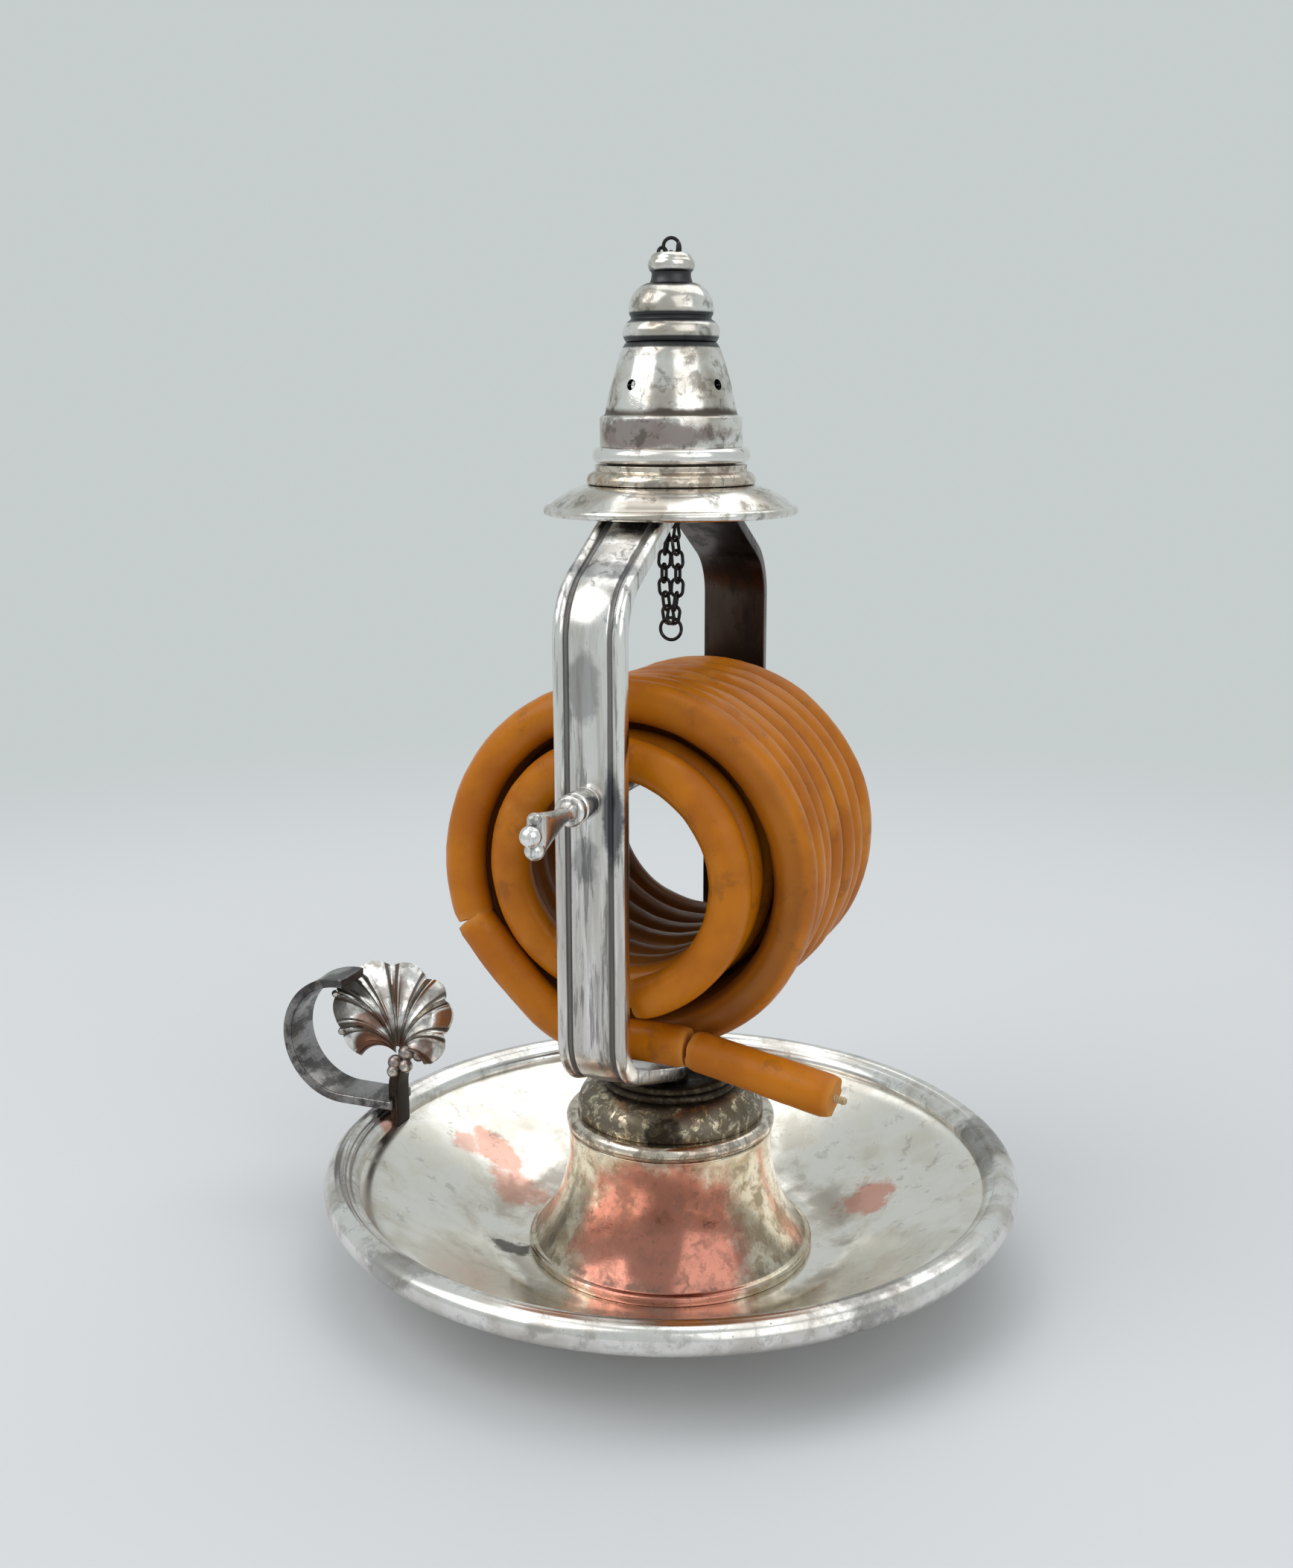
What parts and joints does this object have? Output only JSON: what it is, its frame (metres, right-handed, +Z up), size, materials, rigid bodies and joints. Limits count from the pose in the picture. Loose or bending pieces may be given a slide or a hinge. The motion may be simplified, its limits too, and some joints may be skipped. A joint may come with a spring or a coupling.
{
  "type": "wax jack",
  "caption": "Table stand with a dished tray, reeded stirrup, spindle with a coil of wax taper, drip pan, lift-off vented cap, chain and shell-topped ring handle.",
  "frame": {"origin": "middle of the tray's flat underside, on the table", "axes": "+Z up; the stirrup's two uprights stand along Y with the thumb key at -Y; the handle points to -X"},
  "size_m": [0.1202, 0.1058, 0.1513],
  "materials": {
    "plate_bright": "polished silver plate with fine scratches and specks of tarnish",
    "plate_worn": "worn silver plate, warm grey with blotches of tarnish and pink copper",
    "plate_copper": "silver plate worn through to pinkish copper",
    "plate_tarnished": "heavily tarnished plate, brown-black and satin",
    "wax": "aged amber beeswax with a soft gloss",
    "wick": "pale cotton strand stiff with wax",
    "chain_metal": "blackened wire, satin"
  },
  "bodies": {
    "stand": {"tray": "plate_worn", "tray_border": "plate_bright", "pedestal": "plate_copper", "pedestal_moulding": "plate_bright", "pedestal_shoulder": "plate_bright", "neck_collar": "plate_bright", "frame_strap_front": "plate_bright", "frame_strap_back": "plate_tarnished", "frame_stud": "plate_tarnished", "pan": "plate_bright", "pan_collar": "plate_copper", "nozzle_tube": "plate_tarnished", "handle_ring": "plate_bright", "handle_stalk": "plate_copper", "thumb_piece": "plate_worn"},
    "spindle": {"spindle_rod": "plate_bright", "spindle_collar": "plate_bright", "thumb_key": "plate_bright"},
    "taper": {"wax_taper": "wax", "taper_wick": "wick"},
    "cap": {"cap_base_ring": "plate_bright", "cap_cone": "plate_worn", "cap_dome": "plate_bright", "cap_finial": "plate_bright", "chain_stop_ring": "chain_metal", "chain_upper": "chain_metal"},
    "chain": {"chain_lower": "chain_metal", "chain_drop_ring": "chain_metal"}
  },
  "joints": [
    {"name": "spindle_turn", "type": "hinge", "parent": "stand", "child": "spindle", "pos_m": [0, 0, 0.078], "axis": [0, 1, 0], "continuous": true},
    {"name": "taper_turn", "type": "hinge", "parent": "stand", "child": "taper", "pos_m": [0, 0, 0.0652], "axis": [0, -1, 0], "range_deg": [-3, 118]},
    {"name": "cap_lift", "type": "slide", "parent": "stand", "child": "cap", "axis": [0, 0, 1], "range_m": [0, 0.012]},
    {"name": "chain_swing", "type": "hinge", "parent": "stand", "child": "chain", "pos_m": [0, 0, 0.1146], "axis": [0, 1, 0], "range_deg": [-15, 15]}
  ]
}
